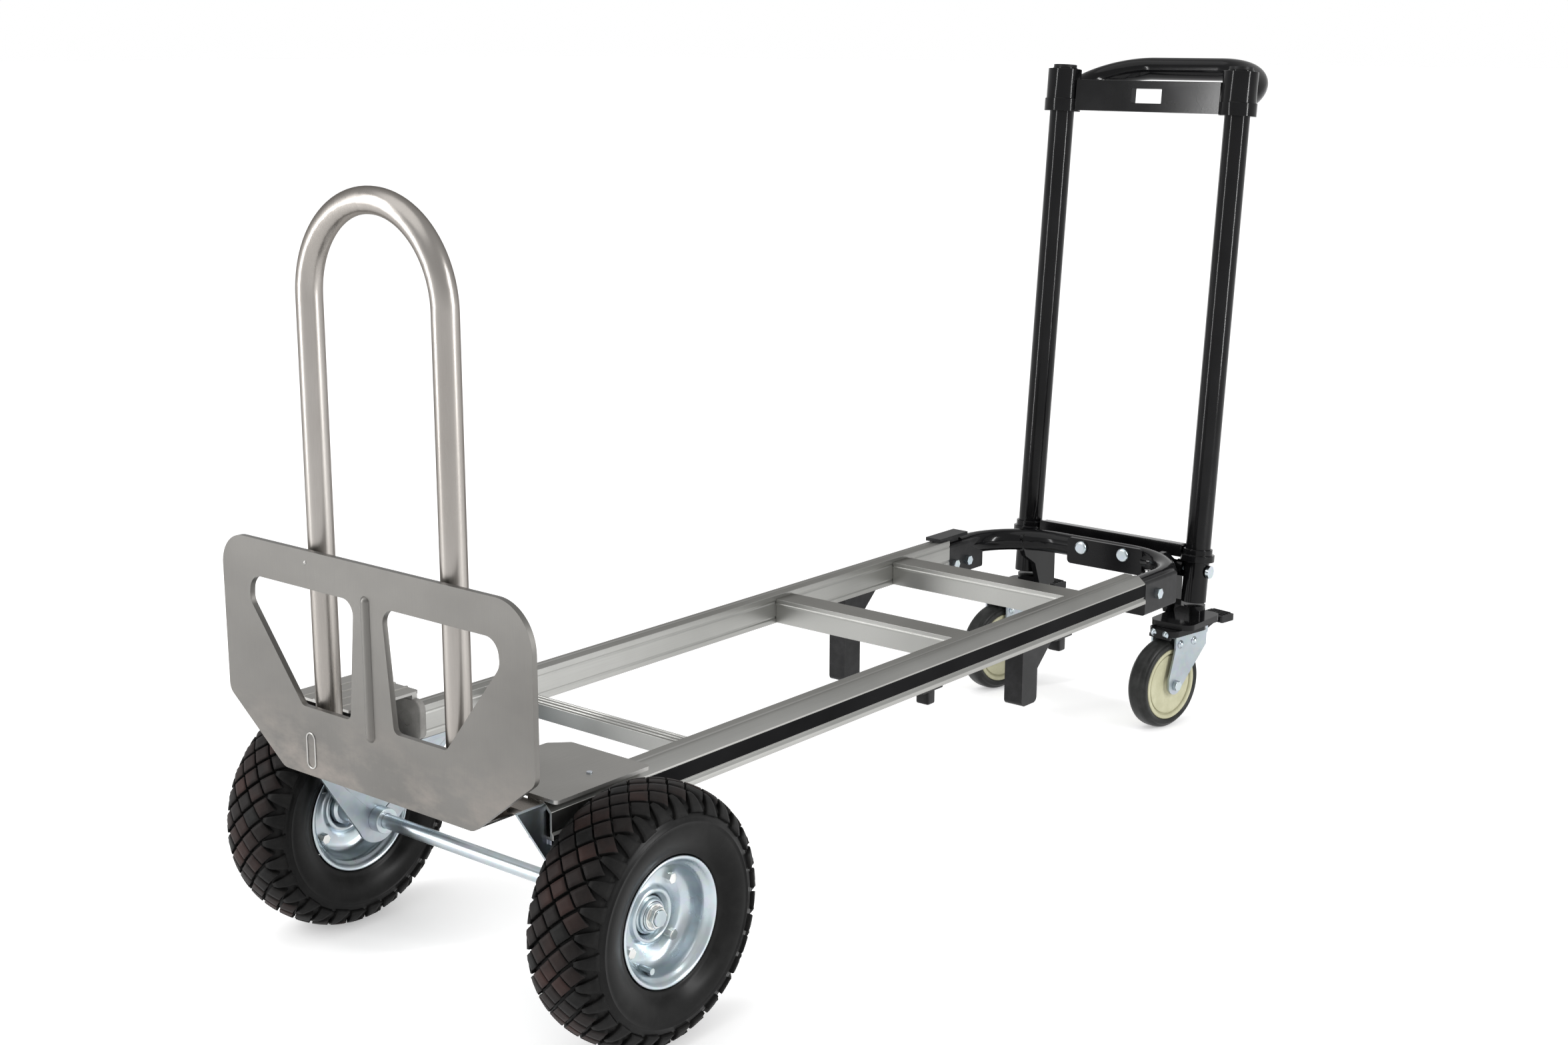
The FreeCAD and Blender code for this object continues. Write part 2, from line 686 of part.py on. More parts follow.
def nose_hinge_brackets():
    """A pair of lugs for each leg, standing on the base channel and the toe plate."""
    lugs = []
    back = toe_x + toe_thickness
    for side in SIDES.values():
        for inner in (nose_y - nose_radius - 4.5, nose_y + nose_radius + 0.5):
            y = sorted((side * inner, side * (inner + 4)))
            lug = plate_xz([(back, 246), (-88, 246), (-88, nose_pivot_z), (-96, 284), (back, 284)], *y)
            lugs.append(lug.cut(rod((nose_x, -BIG, nose_pivot_z), (nose_x, BIG, nose_pivot_z), nose_pin_radius)))
    return lugs


def nose_hinge_pins():
    pins = []
    for side in SIDES.values():
        start, end = side * (nose_y - 20), side * (nose_y + 20)
        pin = rod((nose_x, start, nose_pivot_z), (nose_x, end, nose_pivot_z), nose_pin_radius)
        outer = side * (nose_y + nose_radius + 4.5)
        head = rod((nose_x, outer, nose_pivot_z), (nose_x, outer + side * 3, nose_pivot_z), 7)
        pins.append(pin.fuse(head).removeSplitter())
    return pins


def turned_caster(make, side):
    """A caster piece, swung about its king pin to where the caster stands."""
    shape = make(side)
    shape.rotate(V(caster_x, side * caster_y, 0), Z_AXIS, caster_turn)
    return shape


def wheel_guard():
    """The ridged shelf over the left wheel, standing on the cap at the end of the rail."""
    z0, z1 = tyre_radius * 2 + 2.5, tyre_radius * 2 + 5.5
    x = (-46, rail_front_x["left"])
    top = box(x, (144, 244), (z0, z1))
    top = round_edges(top, 5, lambda e: runs_along(e, Z_AXIS))
    ridges = [box(x, (y, y + 3), (z1, z1 + 1.2)) for y in (162, 182, 202, 222)]
    riser = box((rail_front_x["left"] - 7, rail_front_x["left"]), (148, 170), (cap_top, z0))
    return top.fuse(ridges + [riser]).removeSplitter()


def all_parts():
    """Every sub-part by its node name, as one solid or a list of like solids."""
    parts = {
        "toe_plate": toe_plate(), "base_channel": base_channel(), "corner_plate": corner_plate(),
        "rail_end_cap": rail_end_cap(), "wheel_guard": wheel_guard(), "rail_trim_strips": rail_trim_strips(),
        "front_bar": front_bar(), "cross_member_front": cross_member(cross_front_x[0]),
        "cross_member_rear": cross_member(cross_front_x[1]), "support_legs": support_legs(),
        "rear_loop": rear_loop(), "latch_bracket": latch_bracket(), "latch_bolts": latch_bolts(),
        "pivot_bolts": pivot_bolts(), "frame_bolts": frame_bolts(), "axle": axle(),
        "axle_collars": axle_collars(), "axle_nuts": axle_nuts(),
        "nose_extension": nose_extension(), "nose_hinge_brackets": nose_hinge_brackets(),
        "nose_hinge_pins": nose_hinge_pins(), "handle_post_caps": post_caps(),
        "handle_collars": handle_collars(), "handle_top_bar": handle_top_bar(),
        "handle_lower_bar": handle_lower_bar(), "handle_grip": handle_grip(),
    }
    sided = {
        "rail": rail, "axle_bracket": axle_bracket, "rail_end_block": rail_end_block,
        "handle_mount": handle_mount, "handle_post": post, "tyre": tyre, "rim_halves": rim_halves,
        "wheel_hub": wheel_hub, "rim_bolts": rim_bolts, "tyre_valve": tyre_valve,
        "caster_plate": caster_plate,
    }
    swinging = {
        "caster_housing": caster_housing, "caster_fork": caster_fork, "caster_axle": caster_axle,
        "caster_tread": caster_tread, "caster_core": caster_core, "brake_pedal": brake_pedal,
    }
    for word, side in SIDES.items():
        for name, make in sided.items():
            parts[name + "_" + word] = make(side)
        for name, make in swinging.items():
            parts[name + "_" + word] = turned_caster(make, side)
    return parts


def write_parts():
    os.makedirs("parts", exist_ok=True)
    parts = all_parts()
    shapes = {name: Part.makeCompound(s) if isinstance(s, list) else s for name, s in parts.items()}
    whole = Part.makeCompound(list(shapes.values())).optimalBoundingBox(False)
    middle_x = (whole.XMin + whole.XMax) / 2
    for name, shape in shapes.items():
        shape.translate(V(-middle_x, 0, 0))
        shape.exportStep("parts/" + name + ".step")
    print(len(shapes), "nodes; middle x", round(middle_x, 3), "size", round(whole.XLength, 1),
          round(whole.YLength, 1), round(whole.ZLength, 1), "lowest", round(whole.ZMin, 3))


write_parts()
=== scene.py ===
"""The looks of the convertible hand truck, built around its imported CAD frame. Metres."""
import json
import math

import bmesh
import bpy
from mathutils import Matrix, Vector


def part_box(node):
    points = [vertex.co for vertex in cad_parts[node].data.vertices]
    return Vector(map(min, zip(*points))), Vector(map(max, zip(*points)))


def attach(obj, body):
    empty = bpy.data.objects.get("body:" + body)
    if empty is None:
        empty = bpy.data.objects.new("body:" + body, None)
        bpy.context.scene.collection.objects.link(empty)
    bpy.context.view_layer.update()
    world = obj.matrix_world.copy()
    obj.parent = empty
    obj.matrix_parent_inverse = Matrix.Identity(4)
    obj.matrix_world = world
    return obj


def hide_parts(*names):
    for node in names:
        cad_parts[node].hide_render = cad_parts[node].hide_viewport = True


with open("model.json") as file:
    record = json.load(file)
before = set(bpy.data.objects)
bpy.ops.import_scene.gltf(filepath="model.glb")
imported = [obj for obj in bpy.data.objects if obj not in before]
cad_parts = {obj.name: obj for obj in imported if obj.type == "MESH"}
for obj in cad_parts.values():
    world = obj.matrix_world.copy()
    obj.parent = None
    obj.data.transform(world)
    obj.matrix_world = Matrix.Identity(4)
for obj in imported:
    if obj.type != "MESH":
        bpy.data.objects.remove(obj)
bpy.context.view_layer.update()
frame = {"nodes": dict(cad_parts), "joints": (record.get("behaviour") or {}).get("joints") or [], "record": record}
SIDES = {"left": 1, "right": -1}


def middle(node):
    low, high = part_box(node)
    return (low + high) / 2


def new_object(name, data):
    made = bpy.data.objects.new(name, data)
    bpy.context.scene.collection.objects.link(made)
    return made


# Materials -----------------------------------------------------------------------------------

EVEN = (1, 1, 1)
# A grain is noise drawn out along the axis whose scale is small.
GRAIN_ALONG_X = (0.012, 1, 1)
SHORT_GRAIN_ALONG_X = (0.03, 1, 1)
TUBE_GRAIN_ALONG_Z = (1, 1, 0.05)
SHEET_GRAIN_ALONG_Z = (1, 1, 0.03)
RUBBED_HEIGHT = 0.085


def grey(level):
    return (level, level, level)


def darker(colour, share):
    return tuple(share * c for c in colour)


def set_stops(ramp, stops):
    """Put (place, colour) stops on a colour ramp."""
    marks = ramp.color_ramp.elements
    while len(marks) < len(stops):
        marks.new(0.5)
    for mark, (place, colour) in zip(marks, stops):
        mark.position = place
        mark.color = (*colour, 1)


class Paint:
    """A small helper that wires a procedural material together."""

    def __init__(self, name, **sockets):
        self.material = bpy.data.materials.new(name)
        self.material.use_nodes = True
        self.tree = self.material.node_tree
        self.shader = self.tree.nodes["Principled BSDF"]
        self.place = self.tree.nodes.new("ShaderNodeTexCoord").outputs["Object"]
        for socket, value in sockets.items():
            self.shader.inputs[socket.replace("_", " ")].default_value = value

    def node(self, kind, links=(), **settings):
        made = self.tree.nodes.new(kind)
        for name, value in settings.items():
            setattr(made, name, value)
        for socket, value in links:
            if isinstance(value, bpy.types.NodeSocket):
                self.tree.links.new(value, made.inputs[socket])
            else:
                made.inputs[socket].default_value = value
        return made

    def noise(self, scale, stretch=EVEN, detail=3, roughness=0.55):
        where = self.node("ShaderNodeMapping", [("Vector", self.place), ("Scale", stretch)]).outputs[0]
        links = [("Vector", where), ("Scale", scale), ("Detail", detail), ("Roughness", roughness)]
        return self.node("ShaderNodeTexNoise", links).outputs["Fac"]

    def ramp(self, value, *stops):
        made = self.node("ShaderNodeValToRGB", [("Fac", value)])
        set_stops(made, stops)
        return made.outputs["Color"]

    def spread(self, value, low, high):
        """Stretch a value from 0..1 to low..high."""
        made = self.node("ShaderNodeMapRange", [("Value", value), ("To Min", low), ("To Max", high)])
        return made.outputs[0]

    def combine(self, operation, first, second):
        return self.node("ShaderNodeMath", [(0, first), (1, second)], operation=operation).outputs[0]

    def mix(self, amount, first, second, blend="MIX"):
        """Mix two colours; each value is a colour, a number or another node's output."""
        made = self.node("ShaderNodeMix", data_type="RGBA", blend_type=blend)
        for index, value in ((0, amount), (6, first), (7, second)):
            if isinstance(value, bpy.types.NodeSocket):
                self.tree.links.new(value, made.inputs[index])
            else:
                made.inputs[index].default_value = (*value, 1) if isinstance(value, tuple) else value
        return made.outputs[2]

    def set(self, socket, value):
        self.tree.links.new(value, self.shader.inputs[socket])

    def bump(self, *layers):
        """Each layer is (height, strength, distance)."""
        normal = None
        for height, strength, distance in layers:
            links = [("Height", height), ("Strength", strength), ("Distance", distance)]
            if normal is not None:
                links.append(("Normal", normal))
            normal = self.node("ShaderNodeBump", links).outputs[0]
        self.set("Normal", normal)


def brushed_metal(name, dark, light, grain, roughness):
    """Metal with a grain drawn out along the axis where grain is small, and a grey edge tint that paints shade on
    its grazing edges.
    """
    # The grey specular tint is painted shade: it darkens the reflections along the grazing edges.
    paint = Paint(name, Metallic=1.0, Specular_Tint=(0.40, 0.39, 0.38, 1))
    fine = paint.noise(900, grain, detail=4, roughness=0.7)
    broad = paint.noise(5)
    cloudy = paint.ramp(broad, (0.3, dark), (0.7, light))
    paint.set("Base Color", paint.mix(paint.spread(fine, 0, 0.35), cloudy, darker(dark, 0.72)))
    streaks = paint.spread(fine, -0.09, 0.09)
    clouds = paint.spread(broad, roughness - 0.05, roughness + 0.06)
    paint.set("Roughness", paint.combine("ADD", streaks, clouds))
    paint.bump((fine, 0.35, 0.00004))
    return paint.material


def zinc(name, dark, light, roughness):
    """Zinc plate with faint cold clouds."""
    paint = Paint(name, Metallic=1.0)
    clouds = paint.noise(22, detail=4)
    spangle = paint.node("ShaderNodeTexVoronoi", [("Vector", paint.place), ("Scale", 160.0)]).outputs["Color"]
    base = paint.ramp(clouds, (0.3, dark), (0.68, light))
    paint.set("Base Color", paint.mix(0.035, base, spangle, "OVERLAY"))
    paint.set("Roughness", paint.spread(clouds, roughness - 0.06, roughness + 0.09))
    paint.bump((paint.noise(260), 0.12, 0.00008))
    return paint.material


def black_coat(name, colour, roughness, peel, coat=0.05, specular=0.13):
    """Powder coat or painted band with a soft orange peel and a little dust."""
    paint = Paint(name, Coat_Weight=coat, Coat_Roughness=0.12, Specular_IOR_Level=specular)
    dust = paint.noise(9, detail=5)
    dusty = tuple(1.9 * c + 0.002 for c in colour)
    paint.set("Base Color", paint.ramp(dust, (0.35, colour), (0.75, dusty)))
    paint.set("Roughness", paint.spread(dust, roughness - 0.04, roughness + 0.08))
    paint.bump((paint.noise(340, detail=2), 0.18, peel))
    return paint.material


def moulded(name, colour, lighter, roughness, grain=0.00006, specular=0.2):
    """Moulded plastic or rubber with a fine grain and a few scuffs."""
    paint = Paint(name, Specular_IOR_Level=specular)
    scuffs = paint.noise(46, detail=6, roughness=0.7)
    paint.set("Base Color", paint.ramp(scuffs, (0.42, colour), (0.72, lighter)))
    paint.set("Roughness", paint.spread(scuffs, roughness - 0.07, roughness + 0.1))
    paint.bump((paint.noise(1300, detail=2), 0.35, grain))
    return paint.material


def tyre_rubber():
    """Matt black rubber, with brown dust where a block's wear is high."""
    paint = Paint("tyre_black", Specular_IOR_Level=0.12)
    scuffs = paint.noise(60, detail=6, roughness=0.7)
    black = paint.ramp(scuffs, (0.35, grey(0.0036)), (0.75, (0.0125, 0.0122, 0.0118)))
    worn = paint.node("ShaderNodeAttribute", attribute_name="wear").outputs["Fac"]
    patches = paint.ramp(paint.noise(24), (0.38, grey(0.25)), (0.62, grey(1)))
    brown_dust = (0.030, 0.0155, 0.0132)
    paint.set("Base Color", paint.mix(paint.combine("MULTIPLY", worn, patches), black, brown_dust))
    paint.set("Roughness", paint.spread(scuffs, 0.5, 0.72))
    paint.bump((paint.noise(700), 0.4, 0.0001))
    return paint.material


def toe_plate_metal():
    """Dull sheet with a fine upright grain and a warm rubbed patch along its foot."""
    paint = Paint("toe_plate_metal", Metallic=0.85)
    fine = paint.noise(1100, SHEET_GRAIN_ALONG_Z, detail=4, roughness=0.7)
    broad = paint.noise(4, (1, 1, 1.6), detail=4)
    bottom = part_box("toe_plate")[0].z
    height = paint.node("ShaderNodeSeparateXYZ", [("Vector", paint.place)]).outputs["Z"]
    fade = [("Value", height), ("From Min", bottom), ("From Max", bottom + RUBBED_HEIGHT),
            ("To Min", 1.0), ("To Max", 0.0)]
    foot = paint.node("ShaderNodeMapRange", fade).outputs[0]
    scuff = paint.ramp(paint.noise(11, (1, 1, 2.2), 6, 0.65), (0.44, grey(0)), (0.66, grey(1)))
    base = paint.ramp(broad, (0.3, (0.125, 0.121, 0.114)), (0.7, (0.175, 0.170, 0.160)))
    base = paint.mix(paint.spread(fine, 0, 0.22), base, (0.105, 0.101, 0.095))
    rubbed_warm = (0.235, 0.212, 0.192)
    paint.set("Base Color", paint.mix(paint.combine("MULTIPLY", foot, scuff), base, rubbed_warm))
    paint.set("Roughness", paint.spread(fine, 0.36, 0.50))
    paint.bump((fine, 0.3, 0.00003), (scuff, 0.05, 0.0001))
    return paint.material


PAINTS = {
    "brushed_aluminium": toe_plate_metal(),
    "extruded_aluminium": brushed_metal("extruded_metal", dark=(0.36, 0.36, 0.345), light=(0.44, 0.44, 0.425),
                                        grain=GRAIN_ALONG_X, roughness=0.36),
    "shelf_aluminium": brushed_metal("shelf_metal", dark=(0.40, 0.395, 0.38), light=(0.47, 0.465, 0.45),
                                     grain=SHORT_GRAIN_ALONG_X, roughness=0.44),
    "cap_aluminium": moulded("cap_moulding", colour=(0.20, 0.195, 0.185), lighter=(0.27, 0.265, 0.25),
                             roughness=0.45),
    "satin_aluminium": brushed_metal("satin_tube_metal", dark=(0.31, 0.29, 0.27), light=(0.38, 0.36, 0.34),
                                     grain=TUBE_GRAIN_ALONG_Z, roughness=0.30),
    "zinc_steel": zinc("zinc_plate", dark=(0.40, 0.46, 0.495), light=(0.53, 0.58, 0.61), roughness=0.27),
    "bolt_steel": zinc("bolt_zinc", dark=(0.62, 0.63, 0.62), light=(0.80, 0.80, 0.78), roughness=0.13),
    "zinc_sheet": zinc("zinc_sheet_metal", dark=(0.30, 0.34, 0.365), light=(0.42, 0.46, 0.49),
                       roughness=0.34),
    "black_powder_coat": black_coat("gloss_black", (0.0026, 0.0026, 0.0029), roughness=0.11, peel=0.00008),
    "black_plastic": moulded("black_moulding", colour=(0.006, 0.006, 0.0065), lighter=(0.019, 0.019, 0.020),
                             roughness=0.42),
    "trim_band": black_coat("band_black", (0.0035, 0.0035, 0.0038), roughness=0.6, peel=0.00004,
                            coat=0.0, specular=0.03),
    "tyre_rubber": tyre_rubber(),
    "sidewall_rubber": moulded("tyre_sidewall", colour=grey(0.0030), lighter=(0.0075, 0.0075, 0.0073),
                               roughness=0.30, grain=0.00003, specular=0.12),
    "caster_rubber": moulded("caster_rubber_grey", colour=(0.010, 0.0105, 0.010),
                             lighter=(0.024, 0.025, 0.024), roughness=0.36),
    "wheel_plastic": moulded("olive_moulding", colour=(0.36, 0.35, 0.235), lighter=(0.44, 0.43, 0.30),
                             roughness=0.34),
    "fork_steel": zinc("fork_paint", dark=(0.33, 0.37, 0.395), light=(0.42, 0.46, 0.49), roughness=0.45),
}

# CAD nodes whose names start so wear this paint in place of their slot's.
OWN_PAINTS = {
    "caster_fork": "fork_steel", "corner_plate": "shelf_aluminium", "wheel_guard": "shelf_aluminium",
    "rail_end_cap": "cap_aluminium", "tyre_valve": "zinc_steel", "rim_bolts": "bolt_steel",
    "axle_nuts": "bolt_steel",
}
WELD_DISTANCE = 0.00001
EDGE_ROUNDING = 0.0006
SHARP_ANGLE = 40


def finish_cad_nodes():
    """Give every CAD node its material, a fine rounded edge and smooth shading."""
    slots = {part["node"]: part["material_slot"] for part in frame["record"]["subparts"]}
    for name, node in frame["nodes"].items():
        paint = next((own for start, own in OWN_PAINTS.items() if name.startswith(start)), slots[name])
        node.data.materials.clear()
        node.data.materials.append(PAINTS[paint])
        weld = node.modifiers.new("weld", "WELD")
        weld.merge_threshold = WELD_DISTANCE
        bevel = node.modifiers.new("edge", "BEVEL")
        bevel.width = EDGE_ROUNDING
        bevel.segments = 2
        bevel.limit_method = "ANGLE"
        bevel.angle_limit = math.radians(SHARP_ANGLE)
        bevel.harden_normals = False
        bevel.use_clamp_overlap = True
        smooth_faces(node.data)
        normals = node.modifiers.new("normals", "WEIGHTED_NORMAL")
        normals.keep_sharp = False
        normals.weight = 100


def smooth_faces(mesh):
    for face in mesh.polygons:
        face.use_smooth = True


# Mesh helpers --------------------------------------------------------------------------------

def add_piece(name, mesh, paint, body, *replaced):
    """Put a finished mesh on its body, in place of any CAD nodes named last."""
    piece = new_object(name, mesh)
    mesh.materials.append(PAINTS[paint])
    smooth_faces(mesh)
    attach(piece, body)
    if replaced:
        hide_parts(*replaced)


def mesh_of(bm, name):
    bmesh.ops.recalc_face_normals(bm, faces=bm.faces)
    mesh = bpy.data.meshes.new(name)
    bm.to_mesh(mesh)
    bm.free()
    return mesh


def bridge(bm, rings):
    """Join each closed ring of vertices to the next with a band of faces."""
    for here, there in zip(rings, rings[1:]):
        for k in range(len(here)):
            j = (k + 1) % len(here)
            bm.faces.new((here[k], here[j], there[j], there[k]))


def both_faces(half):
    """A closed profile from its half on one face of a wheel."""
    return half + [(r, -offset) for r, offset in reversed(half)]


def lathe(bm, profile, centre, segments):
    """Turn a closed profile of (radius, offset) points about the Y axis through the centre."""
    rows = []
    for step in range(segments):
        angle = 2 * math.pi * step / segments
        c, s = math.cos(angle), math.sin(angle)
        rows.append([bm.verts.new(centre + Vector((r * c, o, r * s))) for r, o in profile])
    bridge(bm, rows + rows[:1])


def rounded(points, radius):
    """Round the corners of a closed (radius, offset) profile."""
    out = []
    steps = 3
    count = len(points)
    for k, point in enumerate(points):
        here = Vector(point)
        before, after = Vector(points[k - 1]), Vector(points[(k + 1) % count])
        reach_in = min(radius, (before - here).length * 0.45)
        reach_out = min(radius, (after - here).length * 0.45)
        start = here + (before - here).normalized() * reach_in
        end = here + (after - here).normalized() * reach_out
        for step in range(steps + 1):
            t = step / steps
            out.append(tuple(start * (1 - t) ** 2 + here * 2 * t * (1 - t) + end * t ** 2))
    return out


# Main wheels ---------------------------------------------------------------------------------

TYRE_RADIUS = 0.130
WHEEL_SEGMENTS = 144
HUB_SEGMENTS = 72
# The crown falls by its drop at its half width; past the shoulder's start it turns down faster.
CROWN_HALF_WIDTH = 0.0435
CROWN_DROP = 0.0145
SHOULDER_START = 0.033
TREAD_DEPTH = 0.0052
TREAD_PITCHES = 31
TREAD_STEP = 2 * math.pi / TREAD_PITCHES
COLUMN_WIDTH = 0.0126
OUTER_COLUMN = 2
# Blocks start below the carcass surface, and their tops are scaled down to leave the grooves.
BLOCK_GRID = 4
BLOCK_ROOT = -0.0015
DIAMOND_SKEW = 0.0012
DIAMOND_SCALES = (0.80, 0.86)
LUG_SCALE = 0.86
LUG_DEPTH = 0.95 * TREAD_DEPTH
LUG_ENDS = (0.0450, 0.0475)


def carcass_radius(v):
    """Radius of the tyre under its tread, v metres across from the middle of the crown."""
    across = abs(v) / CROWN_HALF_WIDTH
    return TYRE_RADIUS - TREAD_DEPTH - CROWN_DROP * across ** 2.6


def tread_point(angle, v, lift, centre):
    """A point on the tyre's crown; past the shoulder the surface turns down the sidewall."""
    over = max(0.0, abs(v) - SHOULDER_START)
    offset = min(abs(v), SHOULDER_START) + 0.0088 * math.sin(min(over / 0.0125, 1.3))
    radius = carcass_radius(offset) - 0.55 * over
    slope = min(1.15, 0.28 * (offset / SHOULDER_START) ** 2 + over / 0.011)
    radius += lift * math.cos(slope)
    offset += lift * math.sin(slope)
    offset = math.copysign(offset, v)
    return centre + Vector((radius * math.cos(angle), offset, radius * math.sin(angle)))


def tread_block(bm, layer, centre, outline, wear, top, inset):
    """One rubber block, from (angle, v) corners, with sloping sides and a flat crown."""
    n = BLOCK_GRID
    a, b, c, d = outline
    mid = (sum(p[0] for p in outline) / 4, sum(p[1] for p in outline) / 4)

    def spot(i, j, scale, lift):
        s, t = i / n, j / n
        angle = (a[0] * (1 - s) + b[0] * s) * (1 - t) + (d[0] * (1 - s) + c[0] * s) * t
        v = (a[1] * (1 - s) + b[1] * s) * (1 - t) + (d[1] * (1 - s) + c[1] * s) * t
        angle = mid[0] + (angle - mid[0]) * scale
        v = mid[1] + (v - mid[1]) * scale
        return tread_point(angle, v, lift, centre)

    rim = [(i, 0) for i in range(n)] + [(n, j) for j in range(n)]
    rim += [(i, n) for i in range(n, 0, -1)] + [(0, j) for j in range(n, 0, -1)]
    levels = [(inset + 0.06, BLOCK_ROOT), (inset + 0.03, top * 0.8), (inset, top)]
    rings = [[bm.verts.new(spot(i, j, scale, lift)) for i, j in rim] for scale, lift in levels]
    bridge(bm, rings)
    grid = dict(zip(rim, rings[-1]))
    for i in range(n + 1):
        for j in range(n + 1):
            if (i, j) not in grid:
                grid[i, j] = bm.verts.new(spot(i, j, inset, top))
    for i in range(n):
        for j in range(n):
            bm.faces.new((grid[i, j], grid[i + 1, j], grid[i + 1, j + 1], grid[i, j + 1]))
    for vert in grid.values():
        vert[layer] = wear


def tread_outline(k, column):
    """The (angle, v) corners of a diamond block; every other column is half a step on."""
    middle_v = column * COLUMN_WIDTH
    start = (k + 0.5 * (column % 2)) * TREAD_STEP
    return [(start, middle_v - COLUMN_WIDTH), (start + TREAD_STEP / 2, middle_v + DIAMOND_SKEW),
            (start, middle_v + COLUMN_WIDTH), (start - TREAD_STEP / 2, middle_v - DIAMOND_SKEW)]


def shoulder_outline(k, face):
    """The corners of a lug that runs from between two diamonds over the shoulder."""
    start = (k + 0.5 * (OUTER_COLUMN % 2) + 0.5) * TREAD_STEP
    near = OUTER_COLUMN * COLUMN_WIDTH + DIAMOND_SKEW
    far = LUG_ENDS[k % 2]
    corners = [(start - 0.10 * TREAD_STEP, near), (start + 0.10 * TREAD_STEP, near),
               (start + 0.45 * TREAD_STEP, far), (start - 0.45 * TREAD_STEP, far)]
    corners = [(angle, face * v) for angle, v in corners]
    return corners if face > 0 else corners[::-1]


def tyre_mesh(centre):
    """The crown with its diamond blocks and the lugs on both shoulders."""
    bm = bmesh.new()
    layer = bm.verts.layers.float.new("wear")
    half = [(carcass_radius(v), v) for v in (0, 0.008, 0.016, 0.024, 0.031)]
    half += [(0.1130, 0.0385), (0.1085, 0.0412)]
    profile = half + [(0.1085, 0.038), (0.1085, -0.038)] + [(r, -v) for r, v in reversed(half[1:])]
    lathe(bm, profile, centre, WHEEL_SEGMENTS)
    low_scale, high_scale = DIAMOND_SCALES
    for k in range(TREAD_PITCHES):
        for column in range(-OUTER_COLUMN, OUTER_COLUMN + 1):
            dust = ((k * 37 + column * 23) % 11) / 10
            worn = dust * (1.0 if abs(column) < OUTER_COLUMN else 0.5)
            inset = low_scale + (high_scale - low_scale) * (((k * 13 + column * 29) % 7) / 6)
            tread_block(bm, layer, centre, tread_outline(k, column), worn, TREAD_DEPTH, inset)
        for face in (1, -1):
            tread_block(bm, layer, centre, shoulder_outline(k, face), 0.0, LUG_DEPTH, LUG_SCALE)
    return mesh_of(bm, "tyre")


def sidewall_mesh(centre):
    """Both smooth sidewalls, with a fine moulded line near the shoulder and a bead at the rim."""
    bm = bmesh.new()
    half = [(0.1095, 0.0385), (0.1088, 0.0410), (0.1068, 0.0424), (0.1040, 0.0434), (0.1012, 0.0440),
            (0.1004, 0.0446), (0.0996, 0.0446), (0.0988, 0.0440), (0.0960, 0.0442), (0.0920, 0.0440),
            (0.0870, 0.0431), (0.0820, 0.0416), (0.0770, 0.0394), (0.0725, 0.0367), (0.0695, 0.0352),
            (0.0676, 0.0350), (0.0660, 0.0340), (0.0650, 0.0300), (0.0646, 0.0220)]
    inner = [(0.0700, 0.0220), (0.0800, 0.0330), (0.1000, 0.0380)]
    for face in (1, -1):
        lathe(bm, [(r, face * v) for r, v in half + inner], centre, WHEEL_SEGMENTS)
    return mesh_of(bm, "sidewall")


def rim_mesh(side, centre):
    """A pressed rim: a rolled flange, a sloping shelf, a smooth bowl and a raised hub seat."""
    bm = bmesh.new()
    outer = [(0.0640, 0.0310), (0.0652, 0.0338), (0.0648, 0.0352), (0.0632, 0.0356), (0.0612, 0.0344),
             (0.0598, 0.0322), (0.0580, 0.0300), (0.0562, 0.0286), (0.0548, 0.0268), (0.0540, 0.0230),
             (0.0532, 0.0180), (0.0518, 0.0130), (0.0495, 0.0092), (0.0465, 0.0068), (0.0430, 0.0058),
             (0.0360, 0.0056), (0.0310, 0.0058), (0.0288, 0.0070), (0.0276, 0.0098), (0.0262, 0.0112),
             (0.0240, 0.0112), (0.0225, 0.0100), (0.0212, 0.0062), (0.0192, 0.0048)]
    back = [(r + (0.0016 if r > 0.05 else 0.0004), o - 0.0018) for r, o in reversed(outer[5:])]
    for face in (1, -1):
        lathe(bm, [(r, face * side * o) for r, o in outer + back], centre, WHEEL_SEGMENTS)
    return mesh_of(bm, "rim")


def hub_mesh(side, centre):
    """The hub tube with its bearing, dust shield and seat for the nut."""
    bm = bmesh.new()
    outline = [(0.0084, -0.030), (0.0150, -0.030), (0.0150, -0.014), (0.0188, -0.012), (0.0188, 0.0060),
               (0.0168, 0.0076), (0.0168, 0.0100), (0.0150, 0.0118), (0.0138, 0.0108), (0.0128, 0.0108),
               (0.0118, 0.0120), (0.0084, 0.0120)]
    lathe(bm, [(r, side * o) for r, o in rounded(outline, 0.0006)], centre, HUB_SEGMENTS)
    return mesh_of(bm, "hub")


def main_wheel(word, side):
    """The finished tyre, rim and hub, in place of their CAD nodes."""
    centre = Vector((middle("axle").x, middle("tyre_" + word).y, middle("axle").z))
    body = "wheel_" + word
    add_piece("tyre_treaded_" + word, tyre_mesh(centre), "tyre_rubber", body, "tyre_" + word)
    add_piece("tyre_sidewalls_" + word, sidewall_mesh(centre), "sidewall_rubber", body, "tyre_" + word)
    add_piece("rim_pressed_" + word, rim_mesh(side, centre), "zinc_steel", body, "rim_halves_" + word)
    add_piece("hub_turned_" + word, hub_mesh(side, centre), "zinc_steel", body, "wheel_hub_" + word)


# Casters -------------------------------------------------------------------------------------

CASTER_SEGMENTS = 120
CASTER_TRAIL = 0.032
# Faces are distances from the king pin; heights are above the floor.
CHEEK_FACE = 0.0219
CHEEK_RIVET_HEIGHT = 0.1215
HEAD_FACE = 0.0438
HEAD_RIVET_HEIGHT = 0.1360
PEDAL_HALF_WIDTH = 0.0150
RIDGE_WIDTH = 0.0022
RIDGE_HEIGHTS = (0.1425, 0.1442)


